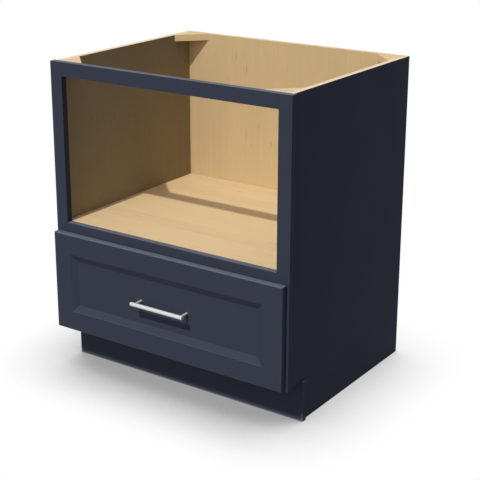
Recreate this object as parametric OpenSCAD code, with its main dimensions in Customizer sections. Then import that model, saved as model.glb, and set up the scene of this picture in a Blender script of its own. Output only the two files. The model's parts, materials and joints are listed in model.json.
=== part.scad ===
// Face-frame base cabinet with an open microwave niche above one deep drawer.
// Millimetres. X runs across the front, the front faces -Y, Z is up from the floor.
// Every module is drawn with the face frame's front on y = 0; place() moves the whole
// cabinet so that the origin is the middle of its box, on the floor.

/* [Carcass] */
// Overall width, across the face frame
cab_w = 762; // [686:0.5:914]
// Depth from the face frame's front to the back edges of the sides
cab_d = 609.6; // [592:0.1:686]
// Height from the floor to the top edges
cab_h = 876.3; // [800:0.1:930]
// Thickness of the two side panels
side_t = 15.875; // [13:0.005:18]
// Distance that the face frame stands past each side panel
frame_overhang = 6.35; // [4:0.05:8]
// Depth of the dadoes and grooves in the side panels
dado_d = 6.35; // [4:0.05:9]
// Thickness of the back panel
back_t = 6.35; // [5:0.05:12]
// Thickness of the hanging rails behind the back panel
hang_rail_t = 12.7; // [9:0.05:16]
// Height of the hanging rails
hang_rail_h = 88.9; // [60:0.1:120]

/* [Niche and deck] */
// Height of the niche floor, where the microwave stands
niche_floor_z = 428.6; // [415:0.1:520]
// Thickness of the niche shelf
shelf_t = 19.05; // [12:0.05:25]
// Thickness of the tongues on the niche shelf's two ends
shelf_tongue_t = 9.5; // [6:0.1:11]
// Thickness of the bottom deck under the drawer
deck_t = 12.7; // [9:0.05:19]

/* [Face frame] */
// Thickness of the face frame
frame_t = 19.05; // [16:0.05:22]
// Width of the two stiles
stile_w = 38.1; // [35:0.05:44]
// Height of the top rail
top_rail_h = 38.1; // [34:0.05:60]
// Height of the rail between the niche and the drawer
mid_rail_h = 38.1; // [34:0.05:50]
// Height of the bottom rail
bottom_rail_h = 38.1; // [34:0.05:50]
// Diameter of the dowels in the frame's joints
dowel_d = 8; // [6:0.1:10]
// Length of a frame dowel
dowel_len = 40; // [24:1:50]
// Distance between the two dowels of a joint
dowel_pitch = 16; // [13:0.5:20]

/* [Toe kick] */
// Height of the toe space
toe_h = 114.3; // [90:0.1:130]
// Depth of the toe space, from the frame's front
toe_setback = 76.2; // [50:0.1:100]
// Thickness of the finished toe-kick board
toe_board_t = 15.875; // [9:0.005:19]
// Thickness of the board behind it, between the sides
sub_toe_t = 15.875; // [12:0.005:19]

/* [Corner blocks] */
// Leg of the triangular blocks that take the countertop's screws
block_leg = 73; // [60:0.5:90]
// Thickness of the corner blocks
block_t = 19.05; // [12:0.05:25]
// Diameter of the countertop screw hole in each block
block_hole_d = 5.5; // [4:0.1:7]
// Distance of that hole from both legs
block_hole_inset = 22; // [16:0.5:26]

/* [Drawer front] */
// Frame left uncovered beside and below the drawer front
front_reveal = 6.35; // [3:0.05:10]
// Height of the drawer front
front_h = 281.95; // [268:0.05:290]
// Thickness of the drawer front's frame
front_t = 19.05; // [17:0.05:22]
// Gap that the bumpers keep between the drawer front and the face frame
front_gap = 3.15; // [2:0.05:4]
// Flat width of the drawer front's members, out to their moulded edge
flat_w = 57.15; // [45:0.05:62]
// Width of the sloped moulding round the panel
bevel_w = 18.5; // [12:0.1:24]
// Small square shoulder where the moulding leaves the flat
shoulder_d = 1.8; // [1:0.1:2.5]
// Depth of the centre panel behind the drawer front's face
recess_d = 9.5; // [8:0.05:10]
// Thin edge left between the moulding and the panel
quirk_d = 0.8; // [0.4:0.1:1.5]
// Thickness of the centre panel
panel_t = 6.35; // [4:0.05:7]
// Depth of the groove that holds the panel
panel_groove = 9.5; // [6:0.1:12]
// Space left for the panel at the bottom of its groove
panel_play = 0.8; // [0.4:0.1:2]
// Radius of the drawer front's outer front edges
edge_r = 3; // [1:0.1:4]
// Diameter of the rubber bumpers
bumper_d = 9.5; // [6:0.1:12]
// Distance of a bumper's centre from the drawer front's edges
bumper_inset = 16; // [10:0.5:20]

/* [Drawer box] */
// Height of the drawer box
box_h = 190.5; // [165:0.1:210]
// Length of the drawer box
box_len = 533.4; // [500:0.1:545]
// Thickness of the drawer box's four walls
box_t = 12.7; // [11:0.05:15]
// Height of the box above the deck
box_rise = 12.7; // [8:0.1:24]
// Thickness of the drawer's bottom
bottom_t = 6.35; // [5:0.05:9]
// Height of the bottom's groove above the walls' lower edge
bottom_rise = 12.7; // [10:0.1:16]
// Depth of that groove
bottom_groove = 6.35; // [4:0.05:8]
// Number of dovetails at each corner
tails = 5; // [3:1:7]
// Part of the pitch that a dovetail takes at its wide end
tail_share = 0.62; // [0.5:0.01:0.7]
// Slope of the dovetails' flanks
tail_slope = 0.14; // [0.08:0.01:0.18]

/* [Drawer slides] */
// Length of the slides
slide_len = 533.4; // [500:0.1:545]
// Height of a slide
slide_h = 45.7; // [44:0.1:50]
// Width of a slide, between the stile and the drawer box
slide_t = 12.7; // [12.4:0.05:14]
// Distance of a slide's front end behind the face frame's front
slide_setback = 3.2; // [2:0.1:6]
// Height of a slide's middle above the box's lower edge
slide_rise = 50; // [40:0.5:70]
// Thickness of the slides' steel
metal_t = 1.2; // [1:0.05:1.3]
// Diameter of the balls
ball_d = 4.76; // [4.4:0.02:4.8]
// Play between a ball and its race
race_gap = 0.3; // [0.2:0.05:0.35]
// Thickness of the ball cages
cage_t = 0.5; // [0.4:0.05:0.6]
// Play between the flat webs of the sliding members
web_gap = 0.4; // [0.35:0.05:0.5]
// Height of the lips that keep the balls in
lip_h = 1.6; // [1:0.1:1.8]
// Number of balls in a row
row_balls = 8; // [4:1:8]
// Distance between neighbouring balls
ball_pitch = 30; // [10:1:31]
// Height of the wooden spacers behind the slides
spacer_h = 88.9; // [80:0.1:110]

/* [Handle] */
// Length of the bar
bar_len = 171.45; // [165:0.05:200]
// Diameter of the bar
bar_d = 11.1; // [10:0.1:14]
// Edge left on the bar's ends
bar_chamfer = 0.8; // [0.4:0.1:1.5]
// Distance between the two posts
post_span = 152.4; // [96:0.1:153]
// Diameter of the posts
post_d = 6.4; // [6.2:0.1:7]
// Distance from the centre panel to the bar's middle
bar_stand = 32.55; // [26:0.05:45]
// Depth of the posts in the bar
post_seat = 4; // [2:0.1:5]

/* [Screws] */
// Shank diameter of the wood screws
screw_d = 4; // [3.5:0.1:4.5]
// Head diameter of the wood screws
screw_head_d = 8; // [7:0.1:9]
// Height of the rounded screw heads
pan_h = 2.4; // [1.8:0.1:3]
// Length of a screw's point in its last piece of wood
bite = 10.5; // [8:0.1:11]
// Length of a slide's screws in the drawer box's side
slide_bite = 9.5; // [7:0.1:10]
// Length of the fixing screws in the drawer front
front_bite = 11.5; // [8:0.1:12]
// Diameter of the handle's machine screws
machine_d = 4; // [3:0.1:4]
// Length of the machine screws' thread in the posts
machine_bite = 9; // [6:0.5:14]
// Play round glued dowels, screws and posts
fit_gap = 0.05; // [0.02:0.01:0.1]

/* [Hidden] */
$fn = 48;
eps = 0.5; // overshoot of a cut past the face that it opens

// Carcass
outer_x = cab_w / 2 - frame_overhang;      // outside of a side panel
inner_x = outer_x - side_t;                // inside of a side panel
open_x = cab_w / 2 - stile_w;              // inside edge of a stile
back_y = cab_d - hang_rail_t - back_t;     // inside of the back panel
deck_z = toe_h + bottom_rail_h;            // top of the deck, flush with the bottom rail
board_y = toe_setback + toe_board_t;       // back of the toe-kick board
spacer_t = inner_x - open_x;

// Drawer front
front_y = -front_gap - front_t;            // face of the drawer front
front_w = cab_w - 2 * front_reveal;
front_z = toe_h + front_reveal;            // lower edge of the drawer front
member_w = flat_w + bevel_w;               // members, to the edge of the panel's opening
panel_y = front_y + recess_d;              // face of the centre panel
handle_z = front_z + front_h / 2;
bar_y = panel_y - bar_stand;
front_reach = bar_d / 2 - bar_y;           // foremost point, in front of the face frame

// Drawer box
box_x = open_x - slide_t;                  // outside of the box's sides
box_y = -front_gap;                        // face of the box's front board
box_z = deck_z + box_rise;
tail_pitch = box_h / tails;

// Slide section: u runs from the spacer to the drawer box, v up and down from the middle
slide_z = box_z + slide_rise;
cab_web_u = metal_t;
outer_cage_u = cab_web_u + web_gap;
mid_web_u = outer_cage_u + cage_t + web_gap;
inner_cage_u = mid_web_u + metal_t + web_gap;
drawer_lip_u = inner_cage_u + cage_t + web_gap;
drawer_web_u = slide_t - metal_t;
ball_play = 0.15; // between a ball and the hole in its cage
ball_u = inner_cage_u + cage_t + ball_d / 2 + ball_play;
lip_u = ball_u + ball_d / 2 + race_gap;
edge_u = lip_u + metal_t;
cab_race_v = slide_h / 2 - metal_t;
outer_ball_v = cab_race_v - race_gap - ball_d / 2;
mid_race_v = outer_ball_v - ball_d / 2 - race_gap;
inner_race_v = mid_race_v - metal_t;
inner_ball_v = inner_race_v - race_gap - ball_d / 2;
drawer_race_v = inner_ball_v - ball_d / 2 - race_gap;
cage_len = row_balls * ball_pitch;
cage_y = slide_setback + (slide_len - cage_len) / 2;

// Screws
cone_h = (screw_head_d - screw_d) / 2;     // height of a countersunk head
clear_d = screw_d + 0.6;                   // hole that a shank passes freely
slot_w = screw_d / 4;                      // cross recess in a head
slot_d = 1;
slide_screw_in = 38;                       // first and last slide screw, from the slide's ends
slide_screw_y = [
    for (k = [0:2]) slide_setback + slide_screw_in + k * (slide_len - 2 * slide_screw_in) / 2
];
spacer_screw_in = 60;                      // spacer screws, from the spacer's ends
spacer_screw_v = (slide_h / 2 + spacer_h / 2) / 2;
spacer_screw_y = [frame_t + spacer_screw_in, (frame_t + back_y) / 2, back_y - spacer_screw_in];
fixing_rise = 52;                          // fixing screws, above and below the handle
fixing_in = (flat_w + member_w - panel_groove) / 2; // into the members, clear of the groove
fixing_x = front_w / 2 - fixing_in;

navy = [0.22, 0.23, 0.28];
maple = [0.80, 0.68, 0.49];
birch = [0.84, 0.74, 0.57];
zinc = [0.70, 0.72, 0.74];
nickel = [0.80, 0.79, 0.77];
steel = [0.62, 0.63, 0.65];
rubber = [0.25, 0.25, 0.26];

// ---------- placing and shared shapes ----------

// The cabinet's own place: the origin is under the middle of its box
module place() {
    translate([0, (front_reach - cab_d) / 2, 0]) children();
}

// side = -1 leaves a left-hand piece as drawn, side = 1 turns it into the right-hand one
module hand(side) {
    if (side < 0) children();
    else mirror([1, 0, 0]) children();
}

// A board between two corners
module board(low, high) {
    translate(low) cube(high - low);
}

// A cross recess, cut down from z = 0
module cross_recess() {
    for (a = [0, 90]) {
        rotate([0, 0, a])
            translate([-screw_d * 0.55, -slot_w / 2, -eps]) cube([screw_d * 1.1, slot_w, slot_d + eps]);
    }
}

// Countersunk screw: the head's top is on z = 0 and the point is at z = len
module flat_screw(len, grow = 0) {
    cylinder(h = cone_h, r1 = screw_head_d / 2 + grow, r2 = screw_d / 2 + grow);
    shank(screw_d, len, grow);
}

// Shank with a point, from z = 0 to z = len
module shank(d, len, grow = 0) {
    cylinder(h = len - d + grow, d = d + 2 * grow);
    translate([0, 0, len - d + grow]) cylinder(h = d, r1 = d / 2 + grow, r2 = 0.2 + grow);
}

// Round-headed screw: its head stands on z = 0 and its point is at z = len
module pan_screw(d, head_d, len) {
    difference() {
        union() {
            translate([0, 0, -pan_h / 2]) cylinder(h = pan_h / 2, d = head_d);
            translate([0, 0, -pan_h]) cylinder(h = pan_h / 2, d1 = head_d * 0.7, d2 = head_d);
            shank(d, len);
        }
        translate([0, 0, -pan_h]) cross_recess();
    }
}

// ---------- carcass ----------

// Left side panel; its outside is painted and its inside is veneered
module side_panel(side) {
    hand(side) difference() {
        board([-outer_x, frame_t, 0], [-inner_x, cab_d, cab_h]);
        // toe space
        board([-outer_x - eps, frame_t - eps, -eps], [-inner_x + eps, board_y, toe_h]);
        shelf_board();
        deck_board();
        back_board();
        spacer_screw_set(fit_gap);
    }
}

module left_side_panel() color(navy) place() side_panel(-1);
module right_side_panel() color(navy) place() side_panel(1);

// The boards that stand in the sides' dadoes and grooves. The niche shelf goes in by a tongue
// along its lower face, so that its upper face ends at the sides.
module shelf_board() {
    x = inner_x + dado_d;
    low_z = niche_floor_z - shelf_t;
    difference() {
        board([-x, frame_t, low_z], [x, back_y, niche_floor_z]);
        for (side = [-1, 1]) hand(side)
            board([-x - eps, frame_t - eps, low_z + shelf_tongue_t], [-inner_x, back_y + eps, niche_floor_z + eps]);
    }
}

module deck_board() {
    x = inner_x + dado_d;
    board([-x, frame_t, deck_z - deck_t], [x, back_y, deck_z]);
}

module back_board() {
    x = inner_x + dado_d;
    board([-x, back_y, toe_h], [x, back_y + back_t, cab_h]);
}

module niche_shelf() color(maple) place() shelf_board();
module bottom_deck() color(maple) place() deck_board();
module back_panel() color(maple) place() back_board();

// Rail behind the back panel, from z up
module hanging_rail(z) {
    board([-inner_x, back_y + back_t, z], [inner_x, cab_d, z + hang_rail_h]);
}

module upper_hanging_rail() color(birch) place() hanging_rail(cab_h - hang_rail_h);
module lower_hanging_rail() color(birch) place() hanging_rail(toe_h);

module sub_toe_board() {
    color(birch) place() board([-inner_x, board_y, 0], [inner_x, board_y + sub_toe_t, deck_z - deck_t]);
}

module toe_kick_board() {
    color(navy) place() board([-cab_w / 2, toe_setback, 0], [cab_w / 2, board_y, toe_h]);
}

// ---------- face frame ----------

// Middle height of each rail
rail_z = [
    cab_h - top_rail_h / 2,
    niche_floor_z - mid_rail_h / 2,
    toe_h + bottom_rail_h / 2
];

// Two dowels across the joint of each rail with the left and right stiles
module dowel_set(grow = 0) {
    for (side = [-1, 1], z = rail_z, s = [-1, 1]) {
        translate([side * open_x, frame_t / 2, z + s * dowel_pitch / 2]) rotate([0, 90, 0])
            cylinder(h = dowel_len + 2 * grow, d = dowel_d + 2 * grow, center = true);
    }
}

module frame_dowels() color(birch) place() dowel_set();

module stile(side) {
    hand(side) difference() {
        board([-cab_w / 2, 0, toe_h], [-open_x, frame_t, cab_h]);
        dowel_set(fit_gap);
    }
}

module left_stile() color(navy) place() stile(-1);
module right_stile() color(navy) place() stile(1);

// Rail with its middle at height z
module rail(z, h) {
    difference() {
        board([-open_x, 0, z - h / 2], [open_x, frame_t, z + h / 2]);
        dowel_set(fit_gap);
    }
}

module top_rail() color(navy) place() rail(rail_z[0], top_rail_h);
module mid_rail() color(navy) place() rail(rail_z[1], mid_rail_h);
module bottom_rail() color(navy) place() rail(rail_z[2], bottom_rail_h);

// ---------- corner blocks ----------

// Triangular block drawn in a corner at the origin, with its legs along +X and +Y
module corner_block() {
    difference() {
        linear_extrude(height = block_t) polygon([[0, 0], [block_leg, 0], [0, block_leg]]);
        translate([block_hole_inset, block_hole_inset, -eps])
            cylinder(h = block_t + 2 * eps, d = block_hole_d);
    }
}

module front_block(side) {
    hand(side) translate([-inner_x, frame_t, cab_h - block_t]) corner_block();
}

module rear_block(side) {
    hand(side) translate([-inner_x, back_y, cab_h - block_t]) mirror([0, 1, 0]) corner_block();
}

module front_left_corner_block() color(maple) place() front_block(-1);
module front_right_corner_block() color(maple) place() front_block(1);
module rear_left_corner_block() color(maple) place() rear_block(-1);
module rear_right_corner_block() color(maple) place() rear_block(1);

// ---------- slide spacers ----------

// Left-hand screws through the spacer into the side panel, above and below the slide
module spacer_screw_set(grow = 0) {
    for (y = spacer_screw_y, s = [-1, 1]) {
        translate([-open_x, y, slide_z + s * spacer_screw_v]) rotate([0, -90, 0])
            flat_screw(spacer_t + bite, grow);
    }
}

module slide_spacer(side) {
    hand(side) difference() {
        board([-inner_x, frame_t, slide_z - spacer_h / 2], [-open_x, back_y, slide_z + spacer_h / 2]);
        spacer_screw_set(fit_gap);
        cabinet_screw_set(fit_gap);
    }
}

module left_slide_spacer() color(birch) place() slide_spacer(-1);
module right_slide_spacer() color(birch) place() slide_spacer(1);

module spacer_screws() {
    color(zinc) place() for (side = [-1, 1]) {
        hand(side) for (y = spacer_screw_y, s = [-1, 1]) {
            translate([-open_x, y, slide_z + s * spacer_screw_v]) rotate([0, -90, 0])
                recessed_screw(spacer_t + bite);
        }
    }
}

module recessed_screw(len) {
    difference() {
        flat_screw(len);
        cross_recess();
    }
}

// ---------- ball-bearing slides ----------

// Runs a left-hand section along the slide from y0 for len. The section is symmetric: the
// points are its upper half in u and v, and the lower half mirrors them.
module along(y0, len, upper) {
    lower = [for (k = [1:len(upper)]) [upper[len(upper) - k][0], -upper[len(upper) - k][1]]];
    translate([-open_x, y0 + len, slide_z]) rotate([90, 0, 0])
        linear_extrude(height = len) polygon(concat(upper, lower));
}

// Screws that hold the left cabinet member, flush with the member's web
module cabinet_screw_set(grow = 0) {
    for (y = slide_screw_y) {
        translate([-open_x + cab_web_u, y, slide_z]) rotate([0, -90, 0])
            flat_screw(metal_t + bite, grow);
    }
}

// Outer channel, screwed to the spacer
module cabinet_member(side) {
    hand(side) difference() {
        along(slide_setback, slide_len, [
            [0, slide_h / 2], [edge_u, slide_h / 2], [edge_u, cab_race_v - lip_h],
            [lip_u, cab_race_v - lip_h], [lip_u, cab_race_v], [cab_web_u, cab_race_v]
        ]);
        cabinet_screw_set(fit_gap);
    }
}

module left_cabinet_member() color(zinc) place() cabinet_member(-1);
module right_cabinet_member() color(zinc) place() cabinet_member(1);

module cabinet_member_screws() {
    color(zinc) place() for (side = [-1, 1]) {
        hand(side) for (y = slide_screw_y) {
            translate([-open_x + cab_web_u, y, slide_z]) rotate([0, -90, 0])
                recessed_screw(metal_t + bite);
        }
    }
}

// Middle channel, between the two rows of balls; it moves half as far as the drawer
module intermediate_member(side) {
    hand(side) along(slide_setback, slide_len, [
        [mid_web_u, mid_race_v], [lip_u, mid_race_v], [lip_u, mid_race_v + lip_h],
        [edge_u, mid_race_v + lip_h], [edge_u, inner_race_v - lip_h],
        [lip_u, inner_race_v - lip_h], [lip_u, inner_race_v], [mid_web_u + metal_t, inner_race_v]
    ]);
}

module left_intermediate_member() color(zinc) place() intermediate_member(-1);
module right_intermediate_member() color(zinc) place() intermediate_member(1);

// Inner channel, screwed to the drawer box
module drawer_member(side) {
    hand(side) difference() {
        along(slide_setback, slide_len, [
            [slide_t, drawer_race_v], [drawer_lip_u, drawer_race_v],
            [drawer_lip_u, drawer_race_v - metal_t], [drawer_web_u, drawer_race_v - metal_t]
        ]);
        for (y = slide_screw_y) {
            translate([-open_x + drawer_web_u - eps, y, slide_z]) rotate([0, 90, 0])
                cylinder(h = metal_t + 2 * eps, d = screw_d + 2 * fit_gap);
        }
    }
}

module left_drawer_member() color(zinc) place() drawer_member(-1);
module right_drawer_member() color(zinc) place() drawer_member(1);

module drawer_member_screws() {
    color(zinc) place() for (side = [-1, 1]) {
        hand(side) for (y = slide_screw_y) {
            translate([-open_x + drawer_web_u, y, slide_z]) rotate([0, 90, 0])
                pan_screw(screw_d, screw_head_d, metal_t + slide_bite);
        }
    }
}

// Holes for those screws in the left side of the drawer box
module drawer_screw_holes() {
    for (y = slide_screw_y) {
        translate([-box_x - eps, y, slide_z]) rotate([0, 90, 0])
            cylinder(h = slide_bite + 2 * eps, d = screw_d + 2 * fit_gap);
    }
}

// Bent strip that spaces two rows of balls, with a hole round each ball
module ball_cage(side, cage_u, ball_v) {
    hand(side) difference() {
        along(cage_y, cage_len, [
            [cage_u, ball_v + cage_t / 2], [lip_u - web_gap, ball_v + cage_t / 2],
            [lip_u - web_gap, ball_v - cage_t / 2], [cage_u + cage_t, ball_v - cage_t / 2]
        ]);
        for (k = [0:row_balls - 1], s = [-1, 1]) {
            translate([-open_x + ball_u, cage_y + (k + 0.5) * ball_pitch, slide_z + s * ball_v])
                cylinder(h = 2 * cage_t, d = ball_d + 2 * ball_play, center = true);
        }
    }
}

module ball_rows(side, ball_v) {
    hand(side) for (k = [0:row_balls - 1], s = [-1, 1]) {
        translate([-open_x + ball_u, cage_y + (k + 0.5) * ball_pitch, slide_z + s * ball_v])
            sphere(d = ball_d);
    }
}

module left_outer_ball_cage() color(steel) place() ball_cage(-1, outer_cage_u, outer_ball_v);
module right_outer_ball_cage() color(steel) place() ball_cage(1, outer_cage_u, outer_ball_v);
module left_inner_ball_cage() color(steel) place() ball_cage(-1, inner_cage_u, inner_ball_v);
module right_inner_ball_cage() color(steel) place() ball_cage(1, inner_cage_u, inner_ball_v);
module left_outer_balls() color(steel) place() ball_rows(-1, outer_ball_v);
module right_outer_balls() color(steel) place() ball_rows(1, outer_ball_v);
module left_inner_balls() color(steel) place() ball_rows(-1, inner_ball_v);
module right_inner_balls() color(steel) place() ball_rows(1, inner_ball_v);

// ---------- drawer box ----------

// The bottom, also cut from the four walls as its groove
module bottom_board() {
    x = box_x - box_t + bottom_groove;
    y0 = box_y + box_t - bottom_groove;
    y1 = box_y + box_len - box_t + bottom_groove;
    board([-x, y0, box_z + bottom_rise], [x, y1, box_z + bottom_rise + bottom_t]);
}

// Tails of the left side's front end, as wide prisms across the side
module tails_at_front() {
    wide = tail_pitch * tail_share / 2;
    narrow = wide - box_t * tail_slope;
    for (k = [0:tails - 1]) {
        translate([-box_x, 0, box_z + (k + 0.5) * tail_pitch])
            rotate([90, 0, 90]) linear_extrude(height = box_t)
                polygon([
                    [box_y, -wide], [box_y + box_t, -narrow],
                    [box_y + box_t, narrow], [box_y, wide]
                ]);
    }
}

// The same tails at the rear end
module tails_at_back() {
    translate([0, 2 * box_y + box_len, 0]) mirror([0, 1, 0]) tails_at_front();
}

module box_side(side) {
    hand(side) difference() {
        union() {
            board([-box_x, box_y + box_t, box_z],
                [-box_x + box_t, box_y + box_len - box_t, box_z + box_h]);
            tails_at_front();
            tails_at_back();
        }
        bottom_board();
        drawer_screw_holes();
    }
}

module drawer_left_side() color(birch) place() box_side(-1);
module drawer_right_side() color(birch) place() box_side(1);

// Four fixing screws of the drawer front and their holes
module at_fixings() {
    for (x = [-fixing_x, fixing_x], s = [-1, 1]) {
        translate([x, box_y + box_t, handle_z + s * fixing_rise]) rotate([90, 0, 0]) children();
    }
}

// The handle's two posts, seen from the box's inside
module at_posts() {
    for (x = [-post_span / 2, post_span / 2]) {
        translate([x, box_y + box_t, handle_z]) rotate([90, 0, 0]) children();
    }
}

module drawer_box_front() {
    color(birch) place() difference() {
        board([-box_x, box_y, box_z], [box_x, box_y + box_t, box_z + box_h]);
        for (side = [-1, 1]) hand(side) tails_at_front();
        bottom_board();
        at_fixings() translate([0, 0, -eps]) cylinder(h = box_t + 2 * eps, d = clear_d);
        at_posts() translate([0, 0, -eps]) cylinder(h = box_t + 2 * eps, d = machine_d + 0.6);
    }
}

module drawer_box_back() {
    color(birch) place() difference() {
        board([-box_x, box_y + box_len - box_t, box_z], [box_x, box_y + box_len, box_z + box_h]);
        for (side = [-1, 1]) hand(side) tails_at_back();
        bottom_board();
    }
}

module drawer_bottom() color(birch) place() bottom_board();

// ---------- drawer front ----------

// Section of a member: u from its outer edge to the panel, d back from the drawer front's face
module member_section() {
    difference() {
        polygon([
            [0, 0], [flat_w, 0], [flat_w, shoulder_d], [member_w, recess_d - quirk_d],
            [member_w, recess_d], [member_w - panel_groove, recess_d],
            [member_w - panel_groove, recess_d + panel_t], [member_w, recess_d + panel_t],
            [member_w, front_t], [0, front_t]
        ]);
        difference() {
            translate([-eps, -eps]) square(edge_r + eps);
            translate([edge_r, edge_r]) circle(edge_r);
        }
    }
}

// Mitred member of a given length along X, with its outer edge on z = 0 and its inside up
module front_member(len) {
    intersection() {
        translate([-len / 2, front_y, 0]) multmatrix([[0, 0, 1, 0], [0, 1, 0, 0], [1, 0, 0, 0]])
            linear_extrude(height = len) member_section();
        translate([0, front_y + front_t + eps, 0]) rotate([90, 0, 0])
            linear_extrude(height = front_t + 2 * eps)
                polygon([
                    [-len / 2, 0], [len / 2, 0],
                    [len / 2 - member_w, member_w], [-len / 2 + member_w, member_w]
                ]);
    }
}

module front_rail(up) {
    z = up ? front_z + front_h : front_z;
    difference() {
        translate([0, 0, z]) rotate([0, up ? 180 : 0, 0]) front_member(front_w);
        at_fixings() fixing_pilot();
    }
}

module front_stile(side) {
    difference() {
        hand(side) translate([-front_w / 2, 0, handle_z]) rotate([0, 90, 0]) front_member(front_h);
        at_fixings() fixing_pilot();
    }
}

module fixing_pilot() {
    shank(screw_d, box_t + front_bite, fit_gap);
}

module front_left_stile() color(navy) place() front_stile(-1);
module front_right_stile() color(navy) place() front_stile(1);
module front_top_rail() color(navy) place() front_rail(true);
module front_bottom_rail() color(navy) place() front_rail(false);

module front_center_panel() {
    x = front_w / 2 - member_w + panel_groove - panel_play;
    z = front_h / 2 - member_w + panel_groove - panel_play;
    color(navy) place() difference() {
        board([-x, panel_y, handle_z - z], [x, panel_y + panel_t, handle_z + z]);
        at_posts() cylinder(h = box_t + front_t + eps, d = machine_d + 2 * fit_gap);
    }
}

module front_fixing_screws() {
    color(zinc) place() at_fixings() pan_screw(screw_d, screw_head_d, box_t + front_bite);
}

module front_bumpers() {
    x = front_w / 2 - bumper_inset;
    z = front_h / 2 - bumper_inset;
    color(rubber) place() for (sx = [-1, 1], sz = [-1, 1]) {
        translate([sx * x, -front_gap, handle_z + sz * z]) rotate([-90, 0, 0])
            cylinder(h = front_gap, d = bumper_d);
    }
}

// ---------- handle ----------

module handle_bar() {
    color(nickel) place() difference() {
        translate([0, bar_y, handle_z]) rotate([0, 90, 0]) {
            cylinder(h = bar_len - 2 * bar_chamfer, d = bar_d, center = true);
            for (s = [0, 1]) {
                mirror([0, 0, s]) translate([0, 0, bar_len / 2 - bar_chamfer])
                    cylinder(h = bar_chamfer, d1 = bar_d, d2 = bar_d - 2 * bar_chamfer);
            }
        }
        for (x = [-post_span / 2, post_span / 2]) {
            translate([x, bar_y + bar_d / 2 - post_seat, handle_z]) rotate([-90, 0, 0])
                cylinder(h = post_seat + bar_d, d = post_d + 2 * fit_gap);
        }
    }
}

// Post from the centre panel into the bar, tapped for its machine screw
module handle_post(x) {
    seat_y = bar_y + bar_d / 2 - post_seat;
    difference() {
        translate([x, seat_y, handle_z]) rotate([-90, 0, 0])
            cylinder(h = panel_y - seat_y, d = post_d);
        translate([x, panel_y + eps, handle_z]) rotate([90, 0, 0])
            cylinder(h = machine_bite + 2 * eps, d = machine_d + 2 * fit_gap);
    }
}

module handle_left_post() color(nickel) place() handle_post(-post_span / 2);
module handle_right_post() color(nickel) place() handle_post(post_span / 2);

module handle_screws() {
    run = box_y + box_t - panel_y;
    color(zinc) place() at_posts() pan_screw(machine_d, screw_head_d, run + machine_bite);
}

// ---------- nodes ----------

left_side_panel();
right_side_panel();
back_panel();
upper_hanging_rail();
lower_hanging_rail();
niche_shelf();
bottom_deck();
sub_toe_board();
toe_kick_board();
left_stile();
right_stile();
top_rail();
mid_rail();
bottom_rail();
frame_dowels();
front_left_corner_block();
front_right_corner_block();
rear_left_corner_block();
rear_right_corner_block();
left_slide_spacer();
right_slide_spacer();
spacer_screws();
left_cabinet_member();
right_cabinet_member();
cabinet_member_screws();
left_intermediate_member();
right_intermediate_member();
left_drawer_member();
right_drawer_member();
drawer_member_screws();
left_outer_ball_cage();
left_outer_balls();
left_inner_ball_cage();
left_inner_balls();
right_outer_ball_cage();
right_outer_balls();
right_inner_ball_cage();
right_inner_balls();
drawer_left_side();
drawer_right_side();
drawer_box_front();
drawer_box_back();
drawer_bottom();
front_left_stile();
front_right_stile();
front_top_rail();
front_bottom_rail();
front_center_panel();
front_fixing_screws();
front_bumpers();
handle_bar();
handle_left_post();
handle_right_post();
handle_screws();
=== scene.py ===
# %% [markdown]
# # A microwave base cabinet, piece by piece
#
# The real object is a navy face-frame base cabinet, 30 inches wide. It has an open niche for a
# microwave oven, and under it one deep drawer on ball-bearing slides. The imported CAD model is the
# fixed frame of this scene: it says where every board, slide and screw is. This lesson dresses it,
# with eased edges, real screws and a finish for every material.

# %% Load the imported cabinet
import json
import math
from contextlib import contextmanager

import bmesh
import bpy
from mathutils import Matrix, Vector

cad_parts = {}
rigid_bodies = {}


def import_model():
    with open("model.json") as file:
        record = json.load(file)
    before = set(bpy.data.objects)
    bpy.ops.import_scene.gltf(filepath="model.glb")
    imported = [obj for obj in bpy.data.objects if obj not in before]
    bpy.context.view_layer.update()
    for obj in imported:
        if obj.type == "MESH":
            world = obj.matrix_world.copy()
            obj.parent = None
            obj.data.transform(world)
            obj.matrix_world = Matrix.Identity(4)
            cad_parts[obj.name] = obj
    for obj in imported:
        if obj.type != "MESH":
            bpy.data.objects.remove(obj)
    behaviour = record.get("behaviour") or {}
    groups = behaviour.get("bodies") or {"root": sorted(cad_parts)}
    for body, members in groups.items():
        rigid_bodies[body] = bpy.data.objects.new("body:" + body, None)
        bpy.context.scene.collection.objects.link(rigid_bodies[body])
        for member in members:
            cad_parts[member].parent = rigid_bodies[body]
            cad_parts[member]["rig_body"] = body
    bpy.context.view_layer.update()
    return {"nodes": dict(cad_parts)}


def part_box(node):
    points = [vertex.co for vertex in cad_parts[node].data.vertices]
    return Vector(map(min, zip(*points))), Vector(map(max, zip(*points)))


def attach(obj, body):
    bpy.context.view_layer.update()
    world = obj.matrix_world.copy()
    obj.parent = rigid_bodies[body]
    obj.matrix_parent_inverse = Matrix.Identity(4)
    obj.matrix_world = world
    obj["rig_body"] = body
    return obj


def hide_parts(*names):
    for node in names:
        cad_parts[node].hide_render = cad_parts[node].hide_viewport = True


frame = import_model()
nodes = frame["nodes"]
MM = 0.001
print("CAD nodes:", len(nodes))

# %% [markdown]
# ## Sizes
#
# A cabinet maker's few sizes drive the scene. Those that the CAD model already holds are read from
# it, so that a new width or height needs no edit here. The rest are the small ones that only a
# close look shows: how far sandpaper rounds an edge, or how wide a leaf of veneer is.

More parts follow.
